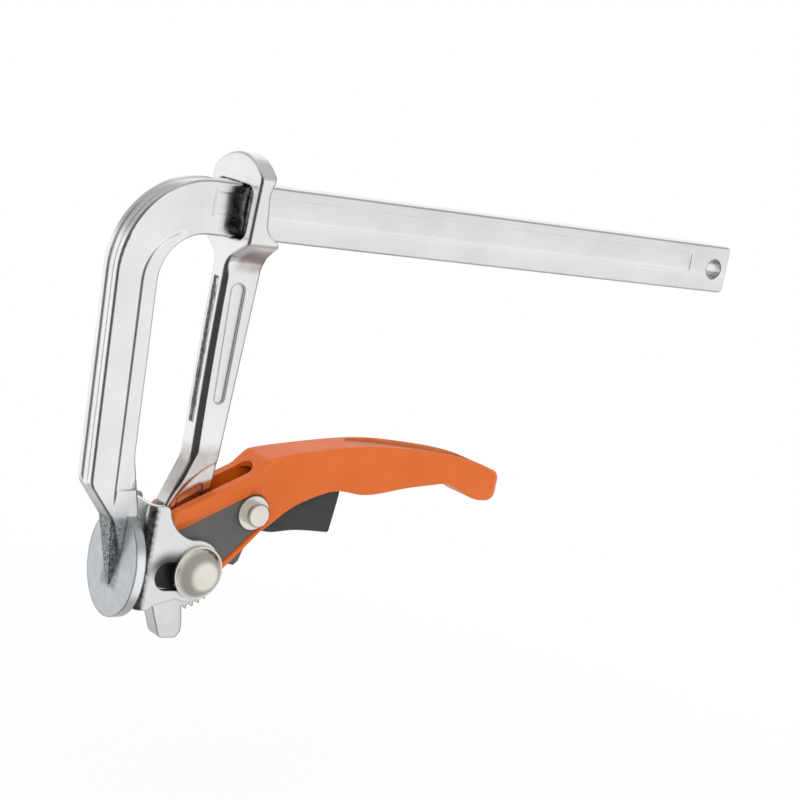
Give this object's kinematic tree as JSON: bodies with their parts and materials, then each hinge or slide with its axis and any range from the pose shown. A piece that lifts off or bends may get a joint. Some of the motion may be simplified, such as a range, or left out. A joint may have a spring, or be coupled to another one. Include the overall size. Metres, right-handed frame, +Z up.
{
  "type": "lever clamp",
  "caption": "All-steel clamp with a flat rail, a bent fixed arm ending in a round anvil, and a sliding arm with a ratcheting lever that presses a slotted plate.",
  "frame": {"origin": "centre of the anvil's clamping face", "axes": "+X along the rail from the fixed arm to its free end, which is also the way the anvil's face looks; +Z up from the anvil to the rail; the pictured side is -Y"},
  "size_m": [0.3295, 0.0416, 0.2017],
  "materials": {
    "bright_steel": "bright plated",
    "plain_steel": "plain",
    "nickel": "nickel plated",
    "grey_steel": "grey, matt",
    "orange_moulding": "satin",
    "black_moulding": "satin"
  },
  "bodies": {
    "base": {"rail_and_fixed_arm": "bright_steel"},
    "slider": {"sliding_arm": "bright_steel", "pivot_bush": "plain_steel", "main_rivet": "nickel", "rivet_washer_near": "nickel", "rivet_washer_far": "nickel", "thrust_ring_near": "plain_steel", "thrust_ring_far": "plain_steel"},
    "plate": {"pressure_plate": "bright_steel"},
    "lever_body": {"lever": "orange_moulding", "side_plate_near": "grey_steel", "side_plate_far": "grey_steel", "pawl_pin": "nickel", "pawl_washer_near": "nickel", "pawl_washer_far": "nickel", "pawl_spacer_near": "plain_steel", "pawl_spacer_far": "plain_steel", "pawl_spring": "plain_steel"},
    "pawl_body": {"pawl": "grey_steel", "trigger": "black_moulding"}
  },
  "joints": [
    {"name": "arm_slide", "type": "slide", "parent": "base", "child": "slider", "axis": [1, 0, 0], "range_m": [0, 0.248]},
    {"name": "plate_slide", "type": "slide", "parent": "slider", "child": "plate", "axis": [1, 0, 0], "range_m": [-0.0012, 0.0046]},
    {"name": "lever_hinge", "type": "hinge", "parent": "slider", "child": "lever_body", "pos_m": [0.0285, 0, 0], "axis": [0, -1, 0], "range_deg": [-80, 20]},
    {"name": "trigger_hinge", "type": "hinge", "parent": "lever_body", "child": "pawl_body", "pos_m": [0.05249, 0, 0.02472], "axis": [0, -1, 0], "range_deg": [-6.5, 8], "stiffness_Nm_per_rad": 0.1, "springref_deg": -14.32}
  ],
  "couplings": [
    {"joint": "plate_slide", "follows": "lever_hinge", "m_per_rad": -0.0031513}
  ]
}
